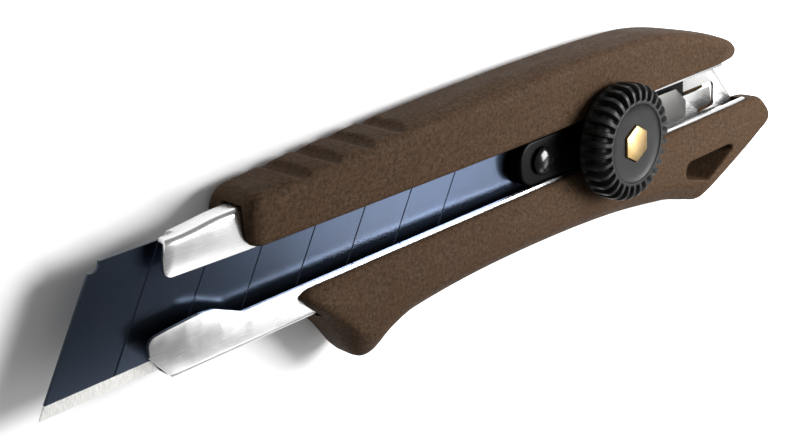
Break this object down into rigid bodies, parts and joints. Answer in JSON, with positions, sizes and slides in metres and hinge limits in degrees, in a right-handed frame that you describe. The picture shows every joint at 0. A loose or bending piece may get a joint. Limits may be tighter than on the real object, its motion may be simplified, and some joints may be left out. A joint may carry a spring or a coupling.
{
  "type": "snap-off utility knife",
  "caption": "Utility knife with a long snap-off blade in a folded steel sleeve, soft contoured grips, a slider and a ribbed screw-lock wheel.",
  "frame": {"origin": "middle of the footprint, on the plane of the flat backs of the grips", "axes": "+X from the blade tip to the tail, +Y from the cutting edge to the spine side, +Z from the grips' flat back up to the lock wheel"},
  "size_m": [0.1686, 0.0392, 0.0174],
  "materials": {
    "grip_elastomer": "matte, fine speckled grain",
    "black_plastic": "semi-gloss moulded",
    "wheel_plastic": "semi-gloss moulded",
    "sleeve_steel": "bright satin stainless sheet",
    "blade_steel": "blue-black oxide with a bright ground bevel",
    "plate_steel": "grey satin sheet",
    "brass": "satin machined"
  },
  "bodies": {
    "handle": {"grip_skin": "grip_elastomer", "handle_frame": "black_plastic", "steel_sleeve": "sleeve_steel"},
    "slider": {"slider_body": "black_plastic", "slider_tail_plate": "plate_steel", "blade_stud": "black_plastic", "blade": "blade_steel"},
    "shoe": {"clamp_shoe": "plate_steel"},
    "wheel": {"lock_wheel": "wheel_plastic", "lock_bolt": "brass", "wheel_washer": "plate_steel"}
  },
  "joints": [
    {"name": "blade_slide", "type": "slide", "parent": "handle", "child": "slider", "axis": [1, 0, 0], "range_m": [-0.06, 0.02]},
    {"name": "shoe_lift", "type": "slide", "parent": "slider", "child": "shoe", "axis": [0, 0, 1], "range_m": [0, 0.000525]},
    {"name": "wheel_turn", "type": "hinge", "parent": "shoe", "child": "wheel", "pos_m": [0.0275, 0.00287, 0.0062], "axis": [0, 0, 1], "range_deg": [0, 270]}
  ],
  "couplings": [
    {"joint": "wheel_turn", "follows": "shoe_lift", "rad_per_m": 8975.9}
  ]
}
